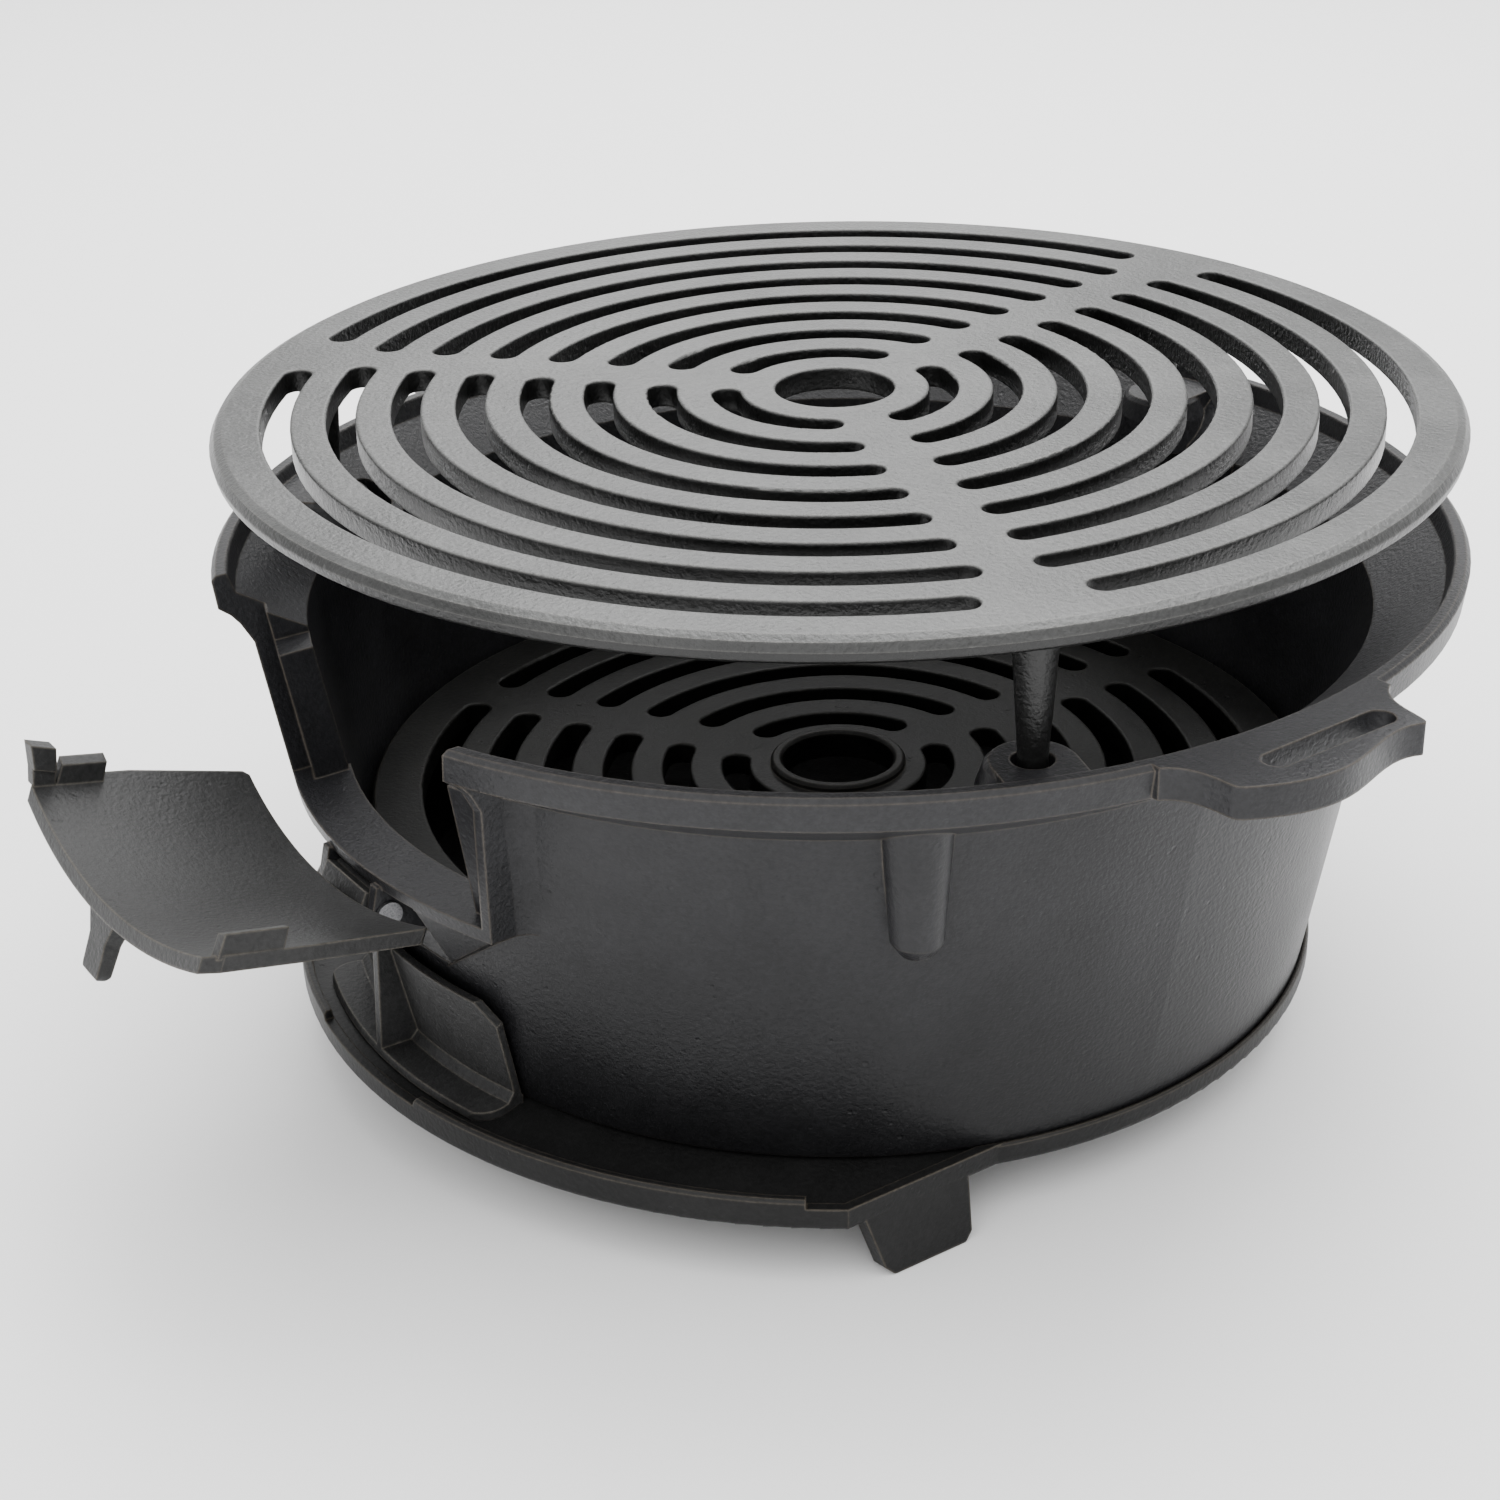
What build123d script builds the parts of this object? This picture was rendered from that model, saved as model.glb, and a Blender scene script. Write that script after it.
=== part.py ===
from build123d import *
import math
import os

# Round cast-iron hibachi grill. Millimetres, +Z up, the feet stand on z = 0, the pot's axis is the Z axis and
# the fuel door looks along -Y.

front_in = -100.0  # a span of Y that covers the pot's whole front wall
front_out = -190.0

# ---- base plate ----
floor_top = 20.5  # level of the dish that the pot and the damper stand on
floor_thick = 4.5
dish_r = 130.6  # outer radius of the round part
dish_rim = 1.1  # width of the low rim round the pot's foot
dish_rim_top = 22.2
scoop_r = 151.0  # outer radius of the ash apron in front
scoop_half = 123.6  # the apron's straight sides stand at this distance from the middle
scoop_rim = 2.8
scoop_rim_top = 24.4
notch_half = 27.0  # half width of the lowered part of the apron's rim
foot_thick = 5.0
foot_splay = 9.0  # degrees
foot_high = 17.0
foot_y = -66.0  # middle of the two front feet
hollow_deep = 0.9  # hollow in the underside
hollow_r = 118.0
hollow_apron_r = 142.0
hollow_apron_half = 112.0

# ---- fire pot ----
wall_slope = 0.165  # radius gained per millimetre of height
wall_r_foot = 128.3  # outer radius at the floor
wall_thick = 5.0
lip_top = 136.5
lip_r = 163.2
lip_band = 8.3  # height of the lip's outer face
lip_width = 4.2
funnel_top = 131.3  # outer end of the sloping shelf inside the lip
funnel_low = 120.0
neck = 117.0  # where the wall starts to flare out under the lip
frame_proud = 9.3  # how far the door frame stands off the wall
frame_half = 52.2  # half width at its foot
frame_low = 78.0
frame_cove = 4.5  # hollow fillet between the frame's sides and the wall
bracket_low = 54.0  # foot of the bracket under the frame
bracket_half = 18.0  # its half width there
ledge_proud = 4.2  # the ledge inside the frame that the closed door lies on
sill_top = 82.0
sill_thick = 3.5
sill_r = 147.5
sill_r_in = 133.0
door_gap_half = 43.0
door_gap_half_top = 54.0  # above the ledge, where the door's ribs pass
ledge_top = 118.3
rebate_half = 50.6  # half width of the frame's recess at the sill
rebate_flare = 0.2  # half width gained per millimetre of height
vent_top = 45.0
vent_half = 30.0
vent_corner = 7.0
ledge_lug_r = 121.5  # inner radius of the lugs under the coal grate
ledge_lug_half_deg = 4.0
pattern_az = -28.7  # the deep sockets stand at this angle and every 120 degrees on
turn = 10.3  # turning the grate by this much takes its legs from one set of sockets to the other
socket_r = 144.0
pad_top = 133.0
handle_y = 4.0
handle_x = 179.5
handle_bow = 5.0
handle_thick = 8.0

# ---- hinge of the fuel door ----
hinge_o = 146.0  # distance in front of the pot's axis
hinge_z = 71.7
pin_r = 2.0
pin_clear = 0.08
ear_in = 11.3
ear_thick = 3.2
ear_round = 4.4  # radius of the ears' lower end
knuckle_r = 4.3
pin_head_r = 3.4

# ---- fuel door ----
door_open = 67.8  # angle from closed to the open rest position
door_thick = 3.9
door_low = 82.8
door_top = 139.6
door_half_low = 50.0
door_half_top = 53.6
door_gap = 0.3
rib_low = 119.6
rib_high = 134.0
rib_reach = 5.0  # how far the ribs stand in from the plate
rib_thick = 3.2
near_rib_high = 137.6  # the rib on the side without a lug is longer
tab_x = 1.4
tab_half = 4.4
tab_round = 2.6
tongue_half = 10.6
tab_tip = 171.8  # distance of the finger tab's tip from the pot's axis, door closed

# ---- draft damper ----
damper_az = -91.5
damper_half_deg = 18.2
damper_top = 51.5
damper_r = 129.9  # inner radius of the panel at its foot
damper_panel = 2.3
damper_lean = 6.4  # how far the panel leans out at its top
damper_fin = 2.8
damper_lip_r = 144.3
damper_plate = 2.4
damper_round = 7.0  # rounding of the lip's outer corners

# ---- grates ----
grate_r = 160.0
grate_top = 172.0
grate_thick = 6.0
slot_pitch = 16.45
slot_wide = 7.4
slot_edge = 0.7  # rounding of the slots' top edges
slot_first = 28.2  # middle radius of the innermost ring of slots
spoke_half = 6.4
outer_spoke_half = 12.4
hub_hole_r = 15.4
leg_r_top = 5.7
leg_r_low = 3.3
leg_low = 124.0
coal_r = 128.0
coal_top = 63.2
coal_thick = 6.0
collar_r = 18.6
collar_high = 2.0


def wall_r(z):
    """Outer radius of the pot's wall at a height."""
    return wall_r_foot + 0.5 + wall_slope * (z - floor_top)


def turned(points, start=0.0, sweep=360.0):
    """A ring or a sector of one, from a section given as (radius, height) corners."""
    section = make_face(Polyline([(r, 0, z) for r, z in points], close=True))
    return Rot(0, 0, start) * revolve(section, Axis.Z, sweep)


def at(az, r, z=0.0):
    """A place on a circle round the pot's axis, turned to face outward."""
    return Rot(0, 0, az) * Pos(r, 0, z)


def prism_y(points, y0, y1):
    """An outline in X and Z drawn out along Y."""
    face = make_face(Polyline([(x, y0, z) for x, z in points], close=True))
    return extrude(face, amount=abs(y1 - y0), dir=(0, 1 if y1 > y0 else -1, 0))


def prism_x(points, x0, x1):
    """An outline in Y and Z drawn out along X."""
    face = make_face(Polyline([(x0, y, z) for y, z in points], close=True))
    return extrude(face, amount=abs(x1 - x0), dir=(1 if x1 > x0 else -1, 0, 0))


def cone_solid(extra, z0, z1):
    """The solid cone that follows the wall at a distance outside it."""
    return turned([(0, z0), (wall_r(z0) + extra, z0), (wall_r(z1) + extra, z1), (0, z1)])


# ---------------------------------------------------------------- base plate
def scoop_outline(shrink):
    """Plan of the apron: a sector of the large disc between two straight sides."""
    disc = Circle(scoop_r - shrink)
    strip = Pos(0, -100) * Rectangle(2 * (scoop_half - shrink), 200)
    return disc & strip


def foot():
    """One plate foot, standing in the YZ plane with its outer face at x = 0."""
    outline = [(-16.5, 2.6), (-11.5, 2.5 - foot_high), (-9, -foot_high), (12.5, -foot_high),
               (14.5, 2.5 - foot_high), (15, 0), (19, 2.6)]
    plate = prism_x(outline, 0, -foot_thick)
    plate = fillet(plate.edges().filter_by(Axis.X).group_by(Axis.Z)[0], 1.2)
    return Rot(0, -foot_splay, 0) * plate


def base_plate():
    """Dish with a low rim, the ash apron in front with its own rim, and three feet."""
    plan = Circle(dish_r) + scoop_outline(0)
    low = floor_top - floor_thick
    body = Pos(0, 0, low) * extrude(plan, floor_thick)
    body = fillet(body.edges().group_by(Axis.Z)[0], 1.6)
    ring = turned([(dish_r - dish_rim, floor_top - 1), (dish_r, floor_top - 1), (dish_r, dish_rim_top - 0.6),
                   (dish_r - 0.5, dish_rim_top), (dish_r - dish_rim, dish_rim_top)])
    ring -= Pos(0, 0, floor_top) * extrude(scoop_outline(scoop_rim), 10)
    body += ring
    sides = scoop_outline(0) - scoop_outline(scoop_rim)
    sides -= Circle(dish_r - 1.0)
    body += Pos(0, 0, floor_top - 1) * extrude(sides, dish_rim_top - floor_top + 1)
    corner = math.degrees(math.asin((scoop_half - 6) / scoop_r))
    rim = turned([(scoop_r - scoop_rim, floor_top - 1), (scoop_r, floor_top - 1), (scoop_r, scoop_rim_top - 0.8),
                  (scoop_r - 0.8, scoop_rim_top), (scoop_r - scoop_rim + 0.4, scoop_rim_top)],
                 -90 - corner, 2 * corner)
    notch = [(-notch_half, scoop_rim_top + 5), (-notch_half + 2.5, dish_rim_top), (notch_half - 2.5, dish_rim_top),
             (notch_half, scoop_rim_top + 5)]
    rim -= prism_y(notch, -scoop_r - 5, -scoop_r + 15)
    body += rim
    for side in (1, -1):
        one = Pos(scoop_half, foot_y, low + 1.0) * foot()
        body += one if side > 0 else mirror(one, Plane.YZ)
    body += Rot(0, 0, pattern_az + 120) * Pos(dish_r - 1.2, 0, low + 1.0) * foot()
    body -= Pos(0, 0, -10) * Box(400, 400, 20)
    # shallow hollow in the underside, as a casting of even thickness has
    hollow = Circle(hollow_r) + (Circle(hollow_apron_r) & Pos(0, -100) * Rectangle(2 * hollow_apron_half, 200))
    body -= Pos(0, 0, low - 0.01) * extrude(hollow, hollow_deep)
    return body


# ---------------------------------------------------------------- fire pot
def outer_form():
    """The pot's outside as one solid of revolution."""
    under = lip_top - lip_band
    return turned([(0, floor_top), (wall_r_foot - 0.9, floor_top), (wall_r_foot + 0.6, floor_top + 1.2),
                   (wall_r(neck), neck), (lip_r - 4.2, under - 2.0), (lip_r - 0.9, under), (lip_r, lip_top - 1.2),
                   (lip_r - 1.2, lip_top), (0, lip_top)])


def inner_form():
    """The room inside: straight wall, sloping shelf and the steep inner face of the lip."""
    edge = lip_r - lip_width
    return turned([(0, floor_top - 1), (wall_r(floor_top - 1) - wall_thick - 0.5, floor_top - 1),
                   (wall_r(funnel_low) - wall_thick, funnel_low), (edge - 1.6, funnel_top), (edge, lip_top - 0.5),
                   (edge + 0.5, lip_top), (edge + 0.5, lip_top + 5), (0, lip_top + 5)])


def door_frame():
    """Proud frame round the door opening, on a tapering bracket."""
    top = lip_top - lip_band + 1
    cove = top - 11.5
    ring = turned([(wall_r(frame_low) - 3, frame_low), (wall_r(frame_low) + frame_proud, frame_low),
                   (wall_r(cove) + frame_proud, cove), (lip_r - 6.0, top - 6), (lip_r - 3.9, top - 3.4),
                   (lip_r - 0.9, top - 1), (lip_r - 0.9, top), (wall_r(top) - 3, top)], -120, 60)
    flare = rebate_flare * (top - frame_low)
    outline = [(-frame_half, frame_low - 1), (frame_half, frame_low - 1), (frame_half + flare, top + 1),
               (-frame_half - flare, top + 1)]
    frame = ring & prism_y(outline, front_in, front_out)
    high = frame_low + 0.5
    bracket = turned([(wall_r(bracket_low) - 2, bracket_low), (wall_r(bracket_low) + 0.05, bracket_low),
                      (wall_r(frame_low) + frame_proud, high), (wall_r(frame_low) - 2, high)], -120, 60)
    taper = [(-bracket_half, bracket_low - 0.1), (bracket_half, bracket_low - 0.1), (frame_half, high),
             (-frame_half, high)]
    return frame + (bracket & prism_y(taper, front_in, front_out))


def frame_coves():
    """Hollow fillets where the frame's two sides meet the wall."""
    levels = (frame_low, lip_top - lip_band - 4)
    out = None
    for side in (1, -1):
        sections = []
        for z in levels:
            x = side * (frame_half + rebate_flare * (z - frame_low))
            az = math.atan2(-math.sqrt(wall_r(z) ** 2 - x ** 2), x)
            y = wall_r(z) * math.sin(az)
            along = az + side * frame_cove / wall_r(z)
            on_wall = (wall_r(z) - 0.05) * math.cos(along), (wall_r(z) - 0.05) * math.sin(along)
            on_side = x - side * 0.05, y - frame_cove
            middle = (x + 0.29 * (on_wall[0] + on_side[0] - 2 * x), y + 0.29 * (on_wall[1] + on_side[1] - 2 * y))
            root = x - side, y + 1
            sections.append(Pos(0, 0, z) * make_face([Line(root, on_side), ThreePointArc(on_side, middle, on_wall),
                                                      Line(on_wall, root)]))
        bar = loft(sections, ruled=True)
        out = bar if out is None else out + bar
    return out


def sill():
    """Flat ledge across the foot of the opening, reaching a little into the pot."""
    shelf = turned([(sill_r_in, sill_top - sill_thick), (sill_r, sill_top - sill_thick), (sill_r, sill_top),
                    (sill_r_in, sill_top)], -120, 60)
    half = door_gap_half + 3
    return shelf & prism_y([(-half, 70), (half, 70), (half, 90), (-half, 90)], front_in, front_out)


def door_cut():
    """Everything taken out for the door: the way through, the recess in the frame and the gap in the lip."""
    lower = prism_y([(-door_gap_half, sill_top), (door_gap_half, sill_top), (door_gap_half + 3, 150),
                     (-door_gap_half - 3, 150)], front_in, front_out)
    upper = prism_y([(-door_gap_half_top, ledge_top), (door_gap_half_top, ledge_top), (door_gap_half_top, 150),
                     (-door_gap_half_top, 150)], front_in, front_out)
    top = 150.0
    half_top = rebate_half + rebate_flare * (top - sill_top)
    recess = prism_y([(-rebate_half, sill_top), (rebate_half, sill_top), (half_top, top), (-half_top, top)],
                     front_in, front_out)
    rebate = recess - cone_solid(ledge_proud, 60, 126.5)
    return lower + upper + rebate


def hinge_recess():
    """Room under the sill for the door's knuckle, between and outside the ears."""
    high = sill_top - sill_thick
    cut = turned([(wall_r(60) + 0.4, 57), (170, 57), (170, high), (wall_r(high) + 0.4, high)], -105, 30)
    return cut & prism_y([(-22, 50), (22, 50), (29, 90), (-29, 90)], front_in, front_out)


def ears():
    """Two hanging ears under the sill that hold the hinge pin."""
    out = None
    for side in (-1, 1):
        x = side * (ear_in + ear_thick / 2)
        high = sill_top - sill_thick + 1
        web = [(-134, high), (-hinge_o - 2.5, high), (-hinge_o - ear_round, hinge_z), (-hinge_o - 2.5, hinge_z - 3.8),
               (-hinge_o, hinge_z - ear_round), (-134, hinge_z - 9)]
        ear = prism_x(web, x - ear_thick / 2, x + ear_thick / 2)
        out = ear if out is None else out + ear
    return out


def handle():
    """Looped handle on the +X side, cast on the lip."""
    y = handle_y
    x = handle_x
    edge = [Line((150, y - 35), (161.4, y - 35)), Spline([(161.4, y - 35), (168, y - 29.5), (x - 3, y - 28)],
                                                       tangents=[(0.5, 1), (1, 0.1)]),
            Spline([(x - 3, y - 28), (x, y - 25.5), (x + handle_bow, y), (x, y + 25.5), (x - 3, y + 28)],
                   tangents=[(1, 0.1), (-1, 0.1)]),
            Spline([(x - 3, y + 28), (168, y + 29.5), (161.4, y + 35)], tangents=[(-1, 0.1), (-0.5, 1)]),
            Line((161.4, y + 35), (150, y + 35)), Line((150, y + 35), (150, y - 35))]
    plan = make_face(edge)
    body = Pos(0, 0, lip_top - handle_thick) * extrude(plan, handle_thick)
    body -= Cylinder(lip_r - 2, 400)
    slot = make_face([Line((170, -9), (168.2, 25)), ThreePointArc((168.2, 25), (171.5, 28.3), (175.5, 25)),
                      Line((175.5, 25), (176.8, -7)), ThreePointArc((176.8, -7), (173.5, -11.5), (170, -9))])
    body -= Pos(0, 0, 100) * extrude(slot, 60)
    return body


def deep_boss():
    """Boss for the low position: stands out of the wall and ends flush with the sloping shelf."""
    boss = turned([(0, 86.5), (4.0, 87.3), (6.2, 90.5), (8.9, 128), (10.4, 133), (0, 133)])
    edge = lip_r - lip_width - 1.6
    rise = (funnel_top - funnel_low) / (edge - wall_r(funnel_low) + wall_thick)
    inner, outer = 120.0, 175.0
    under_shelf = funnel_top - 0.5
    shelf_room = turned([(inner, under_shelf - rise * (edge - inner)), (outer, under_shelf + rise * (outer - edge)),
                         (outer, lip_top + 20), (inner, lip_top + 20)])
    return at(0, socket_r) * boss - shelf_room


def shallow_pad():
    """Flat-topped lug on the shelf for the high position, run into the lip behind it."""
    lug = turned([(0, 118), (14.0, 118), (12.6, 127), (11.0, pad_top - 1.2), (9.8, pad_top), (0, pad_top)])
    behind = Pos(10, 0, (118 + pad_top) / 2) * Box(20, 20.0, pad_top - 118)
    return at(0, socket_r) * (lug + behind)


def socket_holes():
    """The holes of one pair of sockets, deep and shallow."""
    deep = turned([(0, 92.5), (4.0, 92.5), (5.0, 122), (5.6, 140), (0, 140)])
    shallow = turned([(0, leg_low), (4.2, leg_low), (4.9, 131.5), (5.6, 140), (0, 140)])
    return at(0, socket_r) * deep, at(turn, socket_r) * shallow


def ledges():
    """Three lugs inside the wall that carry the coal grate."""
    out = None
    level = coal_top - coal_thick
    for k in range(3):
        lug = turned([(ledge_lug_r, level - 1), (ledge_lug_r, level), (133, level), (130.5, level - 14)],
                     -ledge_lug_half_deg, 2 * ledge_lug_half_deg)
        lug = Rot(0, 0, -30 + 120 * k) * lug
        out = lug if out is None else out + lug
    return out


def fire_pot():
    """One casting: outside less inside, then the fittings on it, then the ways through it."""
    outside = outer_form()
    body = outside + door_frame() + frame_coves()
    for side in (0, 180):
        body += Rot(0, 0, side) * handle()
    body -= inner_form()
    pad = Rot(0, 0, turn) * shallow_pad() & outside
    for k in range(3):
        body += Rot(0, 0, pattern_az + 120 * k) * (deep_boss() + pad)
    body += ledges()
    body += sill()
    body -= door_cut()
    body -= hinge_recess()
    for k in range(3):
        for hole in socket_holes():
            body -= Rot(0, 0, pattern_az + 120 * k) * hole
    body += ears()
    body -= Pos(0, -hinge_o, hinge_z) * Rot(0, 90, 0) * Cylinder(pin_r, 60)
    shoulder = vent_top - vent_corner
    vent = prism_y([(-vent_half, floor_top - 1), (vent_half, floor_top - 1), (vent_half, shoulder),
                    (vent_half - vent_corner, vent_top), (vent_corner - vent_half, vent_top), (-vent_half, shoulder)],
                   -110, -145)
    return body - vent


def hinge_pin():
    """Plain pin with a flat head on its +X end."""
    half = ear_in + ear_thick
    stem = Cylinder(pin_r, 2 * half + 1.4)
    head = Pos(0, 0, half + 0.7 + 0.5) * Cylinder(pin_head_r, 1.0)
    pin = stem + Pos(0, 0, -0.6) * head
    return Pos(0, -hinge_o, hinge_z) * Rot(0, 90, 0) * pin


# ---------------------------------------------------------------- fuel door
def fuel_door():
    """Built closed, then turned down to its open stop."""
    extra = ledge_proud + door_gap
    shell = cone_solid(extra + door_thick, door_low - 2, door_top) - cone_solid(extra, door_low - 3, door_top + 2)
    half = [(door_half_low - 1.5, door_low), (door_half_low, door_low + 1.5), (door_half_top, rib_low - 6),
            (door_half_top + 0.3, door_top - 4), (door_half_top - 2.5, door_top)]
    outline = [(-x, z) for x, z in half] + [(x, z) for x, z in reversed(half)]
    body = shell & prism_y(outline, front_in, front_out)
    for side, high in ((-1, rib_high), (1, near_rib_high)):
        shape = prism_x([(-190, rib_low - 1.5), (-100, rib_low + 4.5), (-100, high - 2.5), (-190, high + 1.5)],
                        side * (door_half_top - rib_thick), side * door_half_top)
        ring = cone_solid(extra + 1, rib_low - 3, high + 2) - cone_solid(extra - rib_reach, rib_low - 9, high + 4)
        body += ring & shape
    # hooked lug in the far corner
    outer_x = -door_half_top - 0.4
    foot_y = -math.sqrt((wall_r(door_top) + extra) ** 2 - door_half_top ** 2) - 1
    stem = prism_x([(foot_y, rib_high - 0.5), (foot_y, door_top - 0.3), (foot_y + 7, door_top + 1.6),
                    (foot_y + 7, rib_high + 0.9)], outer_x, outer_x + 3.6)
    head = prism_x([(foot_y + 4.6, rib_high + 0.6), (foot_y + 4.6, door_top + 1.0), (foot_y + 10.8, door_top + 3.4),
                    (foot_y + 10.8, rib_high + 2.4)], outer_x, outer_x + 4.8)
    body += stem + head
    # finger tab in the middle of the top edge
    root = wall_r(door_top) + extra + door_thick
    tab = prism_x([(-root + 2.5, door_top - 0.2), (-tab_tip + 1.2, door_top - 0.6), (-tab_tip, door_top - 1.8),
                   (-tab_tip + 0.4, door_top - 3.4), (-tab_tip + 1.8, door_top - 4.2), (-root - 2.0, door_top - 4.8),
                   (-root + 1.5, door_top - 8.0)], tab_x - 3 * tab_half, tab_x + 3 * tab_half)
    tip = Pos(tab_x, -tab_tip + 15) * RectangleRounded(2 * tab_half, 30, tab_round)
    flare = make_face(Polyline([(tab_x - 2 * tab_half, -root + 3), (tab_x - tab_half, -root - 5),
                                (tab_x + tab_half, -root - 5), (tab_x + 1.7 * tab_half, -root + 3)], close=True))
    tab &= Pos(0, 0, door_top - 20) * extrude(tip + flare, 40)
    body += tab
    # tongue that reaches past the edge of the sill to the knuckle, with a groove that clears that edge
    clear = wall_r(sill_top) + frame_proud + 0.4
    tongue = prism_x([(-hinge_o + 3.4, hinge_z + 2.6), (-hinge_o + 3.6, hinge_z + 5.3), (-clear, hinge_z + 5.9),
                      (-clear, sill_top + 0.4), (-hinge_o + 2.0, sill_top + 0.8), (-hinge_o + 1.0, door_low + 7),
                      (-hinge_o - 4.0, door_low + 9), (-hinge_o - 6.6, door_low + 3), (-hinge_o - 6.4, hinge_z + 7),
                      (-hinge_o - 4.2, hinge_z)], -tongue_half, tongue_half)
    knuckle = Pos(0, -hinge_o, hinge_z) * Rot(0, 90, 0) * Cylinder(knuckle_r, 2 * tongue_half)
    body += tongue + knuckle
    body -= Pos(0, -hinge_o, hinge_z) * Rot(0, 90, 0) * Cylinder(pin_r + pin_clear, 60)
    return body.rotate(Axis((0, -hinge_o, hinge_z), (1, 0, 0)), door_open)


# ---------------------------------------------------------------- draft damper
def draft_damper():
    """Curved panel with a flat lip to slide on and a fin to push it by, made facing -Y."""
    low = floor_top
    high = low + damper_plate
    half = math.radians(damper_half_deg)
    inner = damper_r + 0.1
    lip = turned([(inner, low), (damper_lip_r - 0.6, low), (damper_lip_r, low + 0.7), (damper_lip_r - 0.7, high),
                  (inner, high)], -95 - damper_half_deg, 2 * damper_half_deg + 10)
    reach = 200.0
    wedge = make_face(Polyline([(0, 0), (reach * math.sin(half), -reach * math.cos(half)),
                                (-reach * math.sin(half), -reach * math.cos(half))], close=True))
    plan = Circle(damper_lip_r) & wedge
    plan = fillet(plan.vertices().sort_by(Axis.Y)[:2], damper_round)
    outer = damper_r + damper_panel
    panel = turned([(damper_r, low), (outer + 3, low), (outer + 3, high), (outer + 0.9, high + 2.2),
                    (outer + damper_lean, damper_top), (damper_r + damper_lean, damper_top)],
                   -90 - damper_half_deg, 2 * damper_half_deg)
    for side in (-1, 1):
        panel -= prism_y([(side * 36, damper_top + 1), (side * 50, damper_top + 1), (side * 50, damper_top - 12)],
                         -110, -160)
    fin = prism_x([(-131, low), (-143.8, low), (-142.2, damper_top + 0.5), (-137.3, damper_top + 0.5)],
                  -damper_fin / 2, damper_fin / 2)
    return Rot(0, 0, damper_az + 90) * ((lip & extrude(plan, 2 * high)) + panel + fin)


# ---------------------------------------------------------------- grates
def arc_slot(r, wide, start, end):
    """A curved slot with round ends, between two angles measured at its middle radius."""
    half_turn = math.degrees(wide / 2 / r)  # angle taken by a round end
    a0, a1 = start + half_turn, end - half_turn
    mid = (a0 + a1) / 2

    def p(rr, a):
        return (rr * math.cos(math.radians(a)), rr * math.sin(math.radians(a)))

    r0, r1 = r - wide / 2, r + wide / 2
    edges = [ThreePointArc(p(r1, a0), p(r1, mid), p(r1, a1)), ThreePointArc(p(r1, a1), p(r, a1 + half_turn), p(r0, a1)),
             ThreePointArc(p(r0, a1), p(r0, mid), p(r0, a0)), ThreePointArc(p(r0, a0), p(r, a0 - half_turn), p(r1, a0))]
    return make_face(edges)


def slotted_disc(radius, thick, rings, spoke_az, wide_outer, round_top):
    """Flat disc with rings of curved slots between three spokes and a hole in the middle."""
    profile = [(0, 0), (radius - 1.6, 0), (radius - 0.4, 1.0), (radius, thick - 3.0), (radius - 1.3, thick - 1.0),
               (radius - 3.4, thick), (0, thick)]
    disc = turned(profile if round_top else [(0, 0), (radius - 0.8, 0), (radius, 0.8), (radius, thick - 0.8),
                                     (radius - 0.8, thick), (0, thick)])
    slots = None
    for i in range(rings):
        r = slot_first + slot_pitch * i
        half = wide_outer if i == rings - 1 else spoke_half
        gap = math.degrees(math.asin(half / r))
        for k in range(3):
            start = spoke_az + 120 * k
            face = arc_slot(r, slot_wide, start + gap, start + 120 - gap)
            slots = face if slots is None else slots + face
    disc -= Pos(0, 0, -1) * extrude(slots, thick + 2)
    disc -= Cylinder(hub_hole_r, 100)
    top = disc.edges().filter_by_position(Axis.Z, thick - 0.01, thick + 0.01)
    return fillet(top.filter_by(lambda edge: edge.length < 2 * radius), slot_edge)


def top_grate():
    """Cooking grate on three tapered legs."""
    body = Pos(0, 0, grate_top - grate_thick) * slotted_disc(grate_r, grate_thick, 8, pattern_az + turn,
                                                           outer_spoke_half, True)
    under = grate_top - grate_thick
    for k in range(3):
        leg = turned([(0, leg_low), (leg_r_low - 0.9, leg_low), (leg_r_low, leg_low + 0.9), (leg_r_low + 0.3, 136),
                      (leg_r_top - 0.4, under - 4), (leg_r_top + 1.6, under + 0.5), (0, under + 0.5)])
        body += at(pattern_az + turn + 120 * k, socket_r) * leg
    return body


def coal_grate():
    """Lower grate with a raised collar round its middle hole."""
    body = Pos(0, 0, coal_top - coal_thick) * slotted_disc(coal_r, coal_thick, 6, 90.0, spoke_half, False)
    ring = turned([(hub_hole_r, coal_top - 1), (collar_r, coal_top - 1), (collar_r, coal_top + collar_high - 0.8),
                   (collar_r - 0.8, coal_top + collar_high), (hub_hole_r + 0.8, coal_top + collar_high),
                   (hub_hole_r, coal_top + collar_high - 0.8)])
    return body + ring


os.makedirs("parts", exist_ok=True)
pieces = {
    "base_plate": base_plate,
    "fire_pot": fire_pot,
    "door_hinge_pin": hinge_pin,
    "fuel_door": fuel_door,
    "draft_damper": draft_damper,
    "coal_grate": coal_grate,
    "top_grate": top_grate,
}
for name, make in pieces.items():
    export_step(make(), f"parts/{name}.step")
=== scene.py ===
import math

import bmesh
import bpy
from mathutils import Matrix, Vector

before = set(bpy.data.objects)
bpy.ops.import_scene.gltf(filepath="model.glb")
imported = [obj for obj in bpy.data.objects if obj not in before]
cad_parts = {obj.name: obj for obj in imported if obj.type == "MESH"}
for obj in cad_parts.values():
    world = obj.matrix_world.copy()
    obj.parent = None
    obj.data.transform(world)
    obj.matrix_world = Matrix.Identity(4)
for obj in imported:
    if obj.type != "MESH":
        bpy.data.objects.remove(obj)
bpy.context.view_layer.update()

# Everything is in metres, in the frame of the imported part: +Z up, feet on z = 0, fuel door towards -Y.

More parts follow.
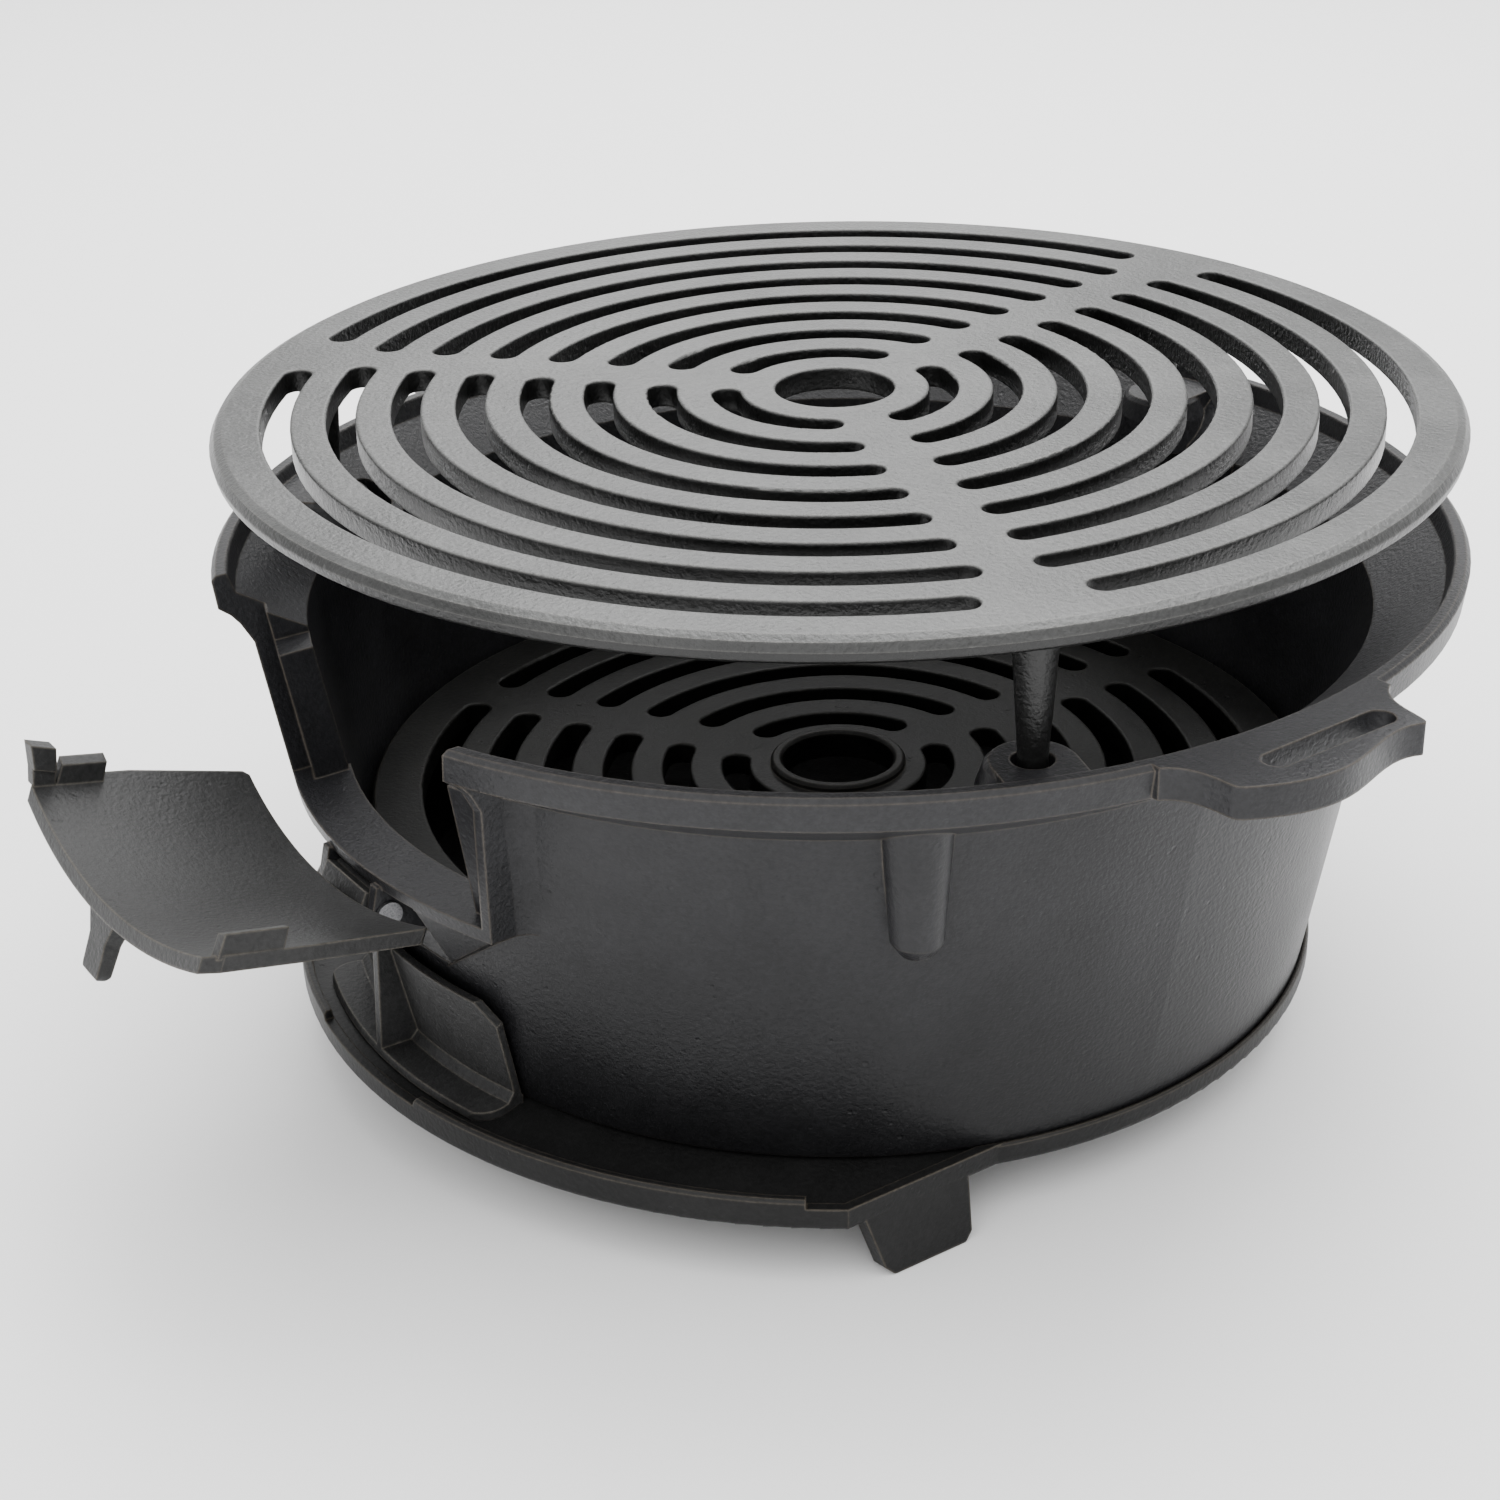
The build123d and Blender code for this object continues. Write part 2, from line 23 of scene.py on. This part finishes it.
# ---- camera ----
CAMERA_PLACE = (0.5455, -0.3911, 0.4022)
CAMERA_YAW = 56.43  # degrees, from +Y towards -X
CAMERA_PITCH = -26.51
CAMERA_ROLL = 1.43
CAMERA_LENS = 65.25  # millimetres, as the sensor's width is
CAMERA_SENSOR = 36
CAMERA_NEAR = 0.01

# ---- cast iron ----
GRAIN_SIZE = 0.0013  # sand grain of the casting's skin
GRAIN_DEPTH = 0.0003
PIT_SIZE = 0.0035
PIT_DEPTH = 0.00035
BLOTCH_SIZE = 0.045
EDGE_RADIUS = 0.0009  # how far from an edge the seasoning is thinned and the painted edge highlight reaches
FOOT_SHADE_LOW = 0.030  # painted shade: between these heights the pot's colour gets lighter, darkest below the lower one
FOOT_SHADE_HIGH = 0.100
SMOOTHER = 0.06  # how much the roughness falls and rises with the blotches
ROUGHER = 0.08

# ---- drawn steel ----
WIRE_LINES = (40, 2600, 2600)  # lines per metre along the pin and across it

# ---- stage ----
FLOOR_RADIUS = 12.0  # flat as far as this, then it curves up into a low backdrop
COVE_RADIUS = 1.2
COVE_STEPS = 8
FLOOR_SECTORS = 96
FLOOR_WHITE = 0.90
FLOOR_ROUGHNESS = 0.9
FLOOR_GLOSS = 0.1
HORIZON_LIGHT = 0.25
ZENITH_LIGHT = 3.2
POT_MIDDLE = (0, 0, 0.1)
GRATE_MIDDLE = (0, 0, 0.17)

BLACK = (0, 0, 0)
WHITE = (1, 1, 1)


def grey(level):
    return (level, level, level)


def node(tree, kind, **values):
    """A shader node with its sockets or settings given by name."""
    made = tree.nodes.new(kind)
    for name, value in values.items():
        if name in made.inputs:
            made.inputs[name].default_value = value
        else:
            setattr(made, name, value)
    return made


def blank(name):
    """A new material with its node tree and its shader."""
    material = bpy.data.materials.new(name)
    material.use_nodes = True
    tree = material.node_tree
    return material, tree, tree.nodes["Principled BSDF"]


def ramp(tree, source, low, high, colours):
    """Two colours spread over a stretch of a grey value."""
    made = tree.nodes.new("ShaderNodeValToRGB")
    for element, position, colour in zip(made.color_ramp.elements, (low, high), colours):
        element.position = position
        element.color = (*colour, 1)
    tree.links.new(source, made.inputs["Fac"])
    return made.outputs["Color"]


def edge_mask(tree):
    """Bright where the surface turns an edge, dark on flat ground; and the softened normal."""
    bevel = node(tree, "ShaderNodeBevel", Radius=EDGE_RADIUS)
    geometry = tree.nodes.new("ShaderNodeNewGeometry")
    dot = node(tree, "ShaderNodeVectorMath", operation="DOT_PRODUCT")
    tree.links.new(bevel.outputs["Normal"], dot.inputs[0])
    tree.links.new(geometry.outputs["Normal"], dot.inputs[1])
    return ramp(tree, dot.outputs["Value"], 0.80, 0.985, (WHITE, BLACK)), bevel.outputs["Normal"]


def mixed(tree, first, second, **settings):
    """Two colours mixed; the settings say how."""
    made = node(tree, "ShaderNodeMix", data_type="RGBA", **settings)
    tree.links.new(first, made.inputs["A"])
    tree.links.new(second, made.inputs["B"])
    made.inputs["Factor"].default_value = 1.0
    return made.outputs["Result"]


def split_z(tree, vector):
    made = tree.nodes.new("ShaderNodeSeparateXYZ")
    tree.links.new(vector, made.inputs["Vector"])
    return made.outputs["Z"]


def bump(tree, height, normal, strength, depth):
    made = node(tree, "ShaderNodeBump", Strength=strength, Distance=depth)
    tree.links.new(height, made.inputs["Height"])
    tree.links.new(normal, made.inputs["Normal"])
    return made.outputs["Normal"]


def cast_iron(name, dark, light, worn_and_highlight, rough, gloss=0.25, grain=0.35, pits=0.5, side_shade=1.0, foot_shade=1.0):
    """Seasoned cast iron: blotchy tone, edges with thinned seasoning and a painted highlight, sandy skin
    and a few shallow pits.

    The second-last argument is how dark the faces that don't look up are made by painted shade, and the
    last how dark the lowest part is made by painted shade."""
    material, tree, shader = blank(name)
    shader.inputs["Specular IOR Level"].default_value = gloss
    coordinates = tree.nodes.new("ShaderNodeTexCoord")
    place = coordinates.outputs["Object"]

    blotch = node(tree, "ShaderNodeTexNoise", Scale=1 / BLOTCH_SIZE, Detail=6.0, Roughness=0.62)
    skin = node(tree, "ShaderNodeTexNoise", Scale=1 / GRAIN_SIZE, Detail=3.0, Roughness=0.6)
    pit = node(tree, "ShaderNodeTexVoronoi", Scale=1 / PIT_SIZE, Randomness=1.0)
    wander = node(tree, "ShaderNodeTexNoise", Scale=0.25 / PIT_SIZE, Detail=2.0)
    for texture in (blotch, skin, pit, wander):
        tree.links.new(place, texture.inputs["Vector"])

    tone = ramp(tree, blotch.outputs["Fac"], 0.30, 0.72, (dark, light))
    edge, soft_normal = edge_mask(tree)
    # the edges: thinned seasoning, lightened further as a painted edge highlight
    rubbed_and_highlit = node(tree, "ShaderNodeMix", data_type="RGBA")
    tree.links.new(edge, rubbed_and_highlit.inputs["Factor"])
    tree.links.new(tone, rubbed_and_highlit.inputs["A"])
    rubbed_and_highlit.inputs["B"].default_value = (*worn_and_highlight, 1)
    masks = [ramp(tree, skin.outputs["Fac"], 0.32, 0.75, (grey(0.72), grey(1.25)))]
    # painted shade: faces that don't look up are darkened
    if side_shade < 1:
        upward = split_z(tree, coordinates.outputs["Normal"])
        masks.append(ramp(tree, upward, 0.35, 0.92, (grey(side_shade), WHITE)))
    # painted shade: the lowest part is darkened, fading out upwards between the two heights
    if foot_shade < 1:
        masks.append(ramp(tree, split_z(tree, place), FOOT_SHADE_LOW, FOOT_SHADE_HIGH, (grey(foot_shade), WHITE)))
    colour = rubbed_and_highlit.outputs["Result"]
    for mask in masks:
        colour = mixed(tree, colour, mask, blend_type="MULTIPLY")
    tree.links.new(colour, shader.inputs["Base Color"])

    dullness = ramp(tree, blotch.outputs["Fac"], 0.25, 0.8, (grey(rough - SMOOTHER), grey(rough + ROUGHER)))
    tree.links.new(dullness, shader.inputs["Roughness"])

    hollow = ramp(tree, pit.outputs["Distance"], 0.0, 0.22, (BLACK, WHITE))
    scattered = ramp(tree, wander.outputs["Fac"], 0.55, 0.66, (WHITE, BLACK))
    shallow = mixed(tree, hollow, scattered, blend_type="LIGHTEN")
    pitted = bump(tree, shallow, soft_normal, pits, PIT_DEPTH)
    tree.links.new(bump(tree, skin.outputs["Fac"], pitted, grain, GRAIN_DEPTH), shader.inputs["Normal"])
    return material


def drawn_steel(name):
    """The hinge pin: plain drawn wire with fine lines along it."""
    material, tree, shader = blank(name)
    shader.inputs["Metallic"].default_value = 1.0
    stretch = node(tree, "ShaderNodeMapping", Scale=WIRE_LINES)
    lines = node(tree, "ShaderNodeTexNoise", Scale=1.0, Detail=3.0)
    tree.links.new(tree.nodes.new("ShaderNodeTexCoord").outputs["Object"], stretch.inputs["Vector"])
    tree.links.new(stretch.outputs["Vector"], lines.inputs["Vector"])
    for socket, colours in (("Base Color", ((0.20, 0.20, 0.21), (0.42, 0.42, 0.43))),
                            ("Roughness", (grey(0.28), grey(0.45)))):
        tree.links.new(ramp(tree, lines.outputs["Fac"], 0.3, 0.7, colours), shader.inputs[socket])
    return material


def give(names, material):
    for name in names:
        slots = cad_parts[name].data.materials
        slots.clear()
        slots.append(material)


def placed(name, data):
    """An object for a mesh, lamp or camera, put into the scene."""
    made = bpy.data.objects.new(name, data)
    bpy.context.collection.objects.link(made)
    return made


def floor():
    """A pale round floor whose far edge curves up, so that no low view looks past it."""
    shape = bmesh.new()
    middle = shape.verts.new((0, 0, 0))
    angles = [2 * math.pi * sector / FLOOR_SECTORS for sector in range(FLOOR_SECTORS)]
    rings = []
    for step in range(COVE_STEPS + 1):
        climb = math.radians(90 * step / COVE_STEPS)
        out = FLOOR_RADIUS + COVE_RADIUS * math.sin(climb)
        high = COVE_RADIUS * (1 - math.cos(climb))
        rings.append([shape.verts.new((out * math.cos(angle), out * math.sin(angle), high))
                      for angle in angles])
    for here in range(FLOOR_SECTORS):
        after = (here + 1) % FLOOR_SECTORS
        shape.faces.new((middle, rings[0][here], rings[0][after]))
        for inner, outer in zip(rings, rings[1:]):
            shape.faces.new((inner[here], outer[here], outer[after], inner[after])).smooth = True
    mesh = bpy.data.meshes.new("floor")
    shape.to_mesh(mesh)
    shape.free()
    material, _, shader = blank("floor_white")
    shader.inputs["Base Color"].default_value = (*grey(FLOOR_WHITE), 1)
    shader.inputs["Roughness"].default_value = FLOOR_ROUGHNESS
    shader.inputs["Specular IOR Level"].default_value = FLOOR_GLOSS
    mesh.materials.append(material)
    placed("floor", mesh)


def soft_box(name, place, aim, size, power):
    """A square soft box that faces a point."""
    data = bpy.data.lights.new(name, "AREA")
    data.shape = "SQUARE"
    data.size = size
    data.energy = power
    lamp = placed(name, data)
    lamp.location = place
    away = Vector(place) - Vector(aim)
    lamp.rotation_euler = away.to_track_quat("Z", "Y").to_euler()


def sky():
    """A white room whose ceiling is brighter than its walls."""
    world = bpy.data.worlds.new("studio")
    world.use_nodes = True
    tree = world.node_tree
    background = tree.nodes["Background"]
    upward = split_z(tree, tree.nodes.new("ShaderNodeTexCoord").outputs["Generated"])
    level = node(tree, "ShaderNodeMapRange", clamp=True)
    level.inputs["To Min"].default_value = HORIZON_LIGHT
    level.inputs["To Max"].default_value = ZENITH_LIGHT
    tree.links.new(upward, level.inputs["Value"])
    tree.links.new(level.outputs["Result"], background.inputs["Strength"])
    background.inputs["Color"].default_value = (1, 1, 1, 1)
    bpy.context.scene.world = world


def camera():
    """The camera's own axes are right, up and backward."""
    turn = Matrix.Identity(3)
    for angle, axis in ((CAMERA_YAW, "Z"), (CAMERA_PITCH, "X"), (CAMERA_ROLL, "Y")):
        turn = turn @ Matrix.Rotation(math.radians(angle), 3, axis)
    right, forward, up = turn.col
    axes = Matrix((right, up, -forward)).transposed().to_4x4()
    data = bpy.data.cameras.new("view")
    data.sensor_width = CAMERA_SENSOR
    data.lens = CAMERA_LENS
    data.clip_start = CAMERA_NEAR
    eye = placed("view", data)
    eye.matrix_world = Matrix.Translation(CAMERA_PLACE) @ axes
    bpy.context.scene.camera = eye


give(["fire_pot"], cast_iron(
    "pot_iron", dark=(0.010, 0.010, 0.011), light=(0.024, 0.024, 0.026), worn_and_highlight=(0.105, 0.088, 0.070),
    rough=0.36, grain=0.8, foot_shade=0.4))
give(["fuel_door", "draft_damper"], cast_iron(
    "door_iron", dark=grey(0.016), light=grey(0.030), worn_and_highlight=(0.12, 0.108, 0.09),
    rough=0.42, gloss=0.18, grain=0.8))
give(["base_plate"], cast_iron(
    "dish_iron", dark=grey(0.005), light=grey(0.012), worn_and_highlight=(0.10, 0.085, 0.066),
    rough=0.42, gloss=0.18, grain=0.6))
give(["top_grate"], cast_iron(
    "grate_iron", dark=(0.020, 0.021, 0.020), light=(0.072, 0.073, 0.071), worn_and_highlight=(0.34, 0.33, 0.31),
    rough=0.33, gloss=0.45, grain=1.0, pits=0.5, side_shade=0.10))
give(["coal_grate"], cast_iron(
    "coal_iron", dark=grey(0.004), light=(0.010, 0.010, 0.009), worn_and_highlight=(0.06, 0.054, 0.045),
    rough=0.42, gloss=0.15, side_shade=0.5))
give(["door_hinge_pin"], drawn_steel("pin_steel"))

floor()
sky()
soft_box("top_box", place=(-0.45, 0.55, 1.35), aim=POT_MIDDLE, size=1.3, power=26)
soft_box("front_box", place=(0.9, -1.2, 0.9), aim=POT_MIDDLE, size=0.9, power=4)
soft_box("sheen_box", place=(-1.25, 0.80, 0.80), aim=GRATE_MIDDLE, size=0.6, power=2.0)
camera()
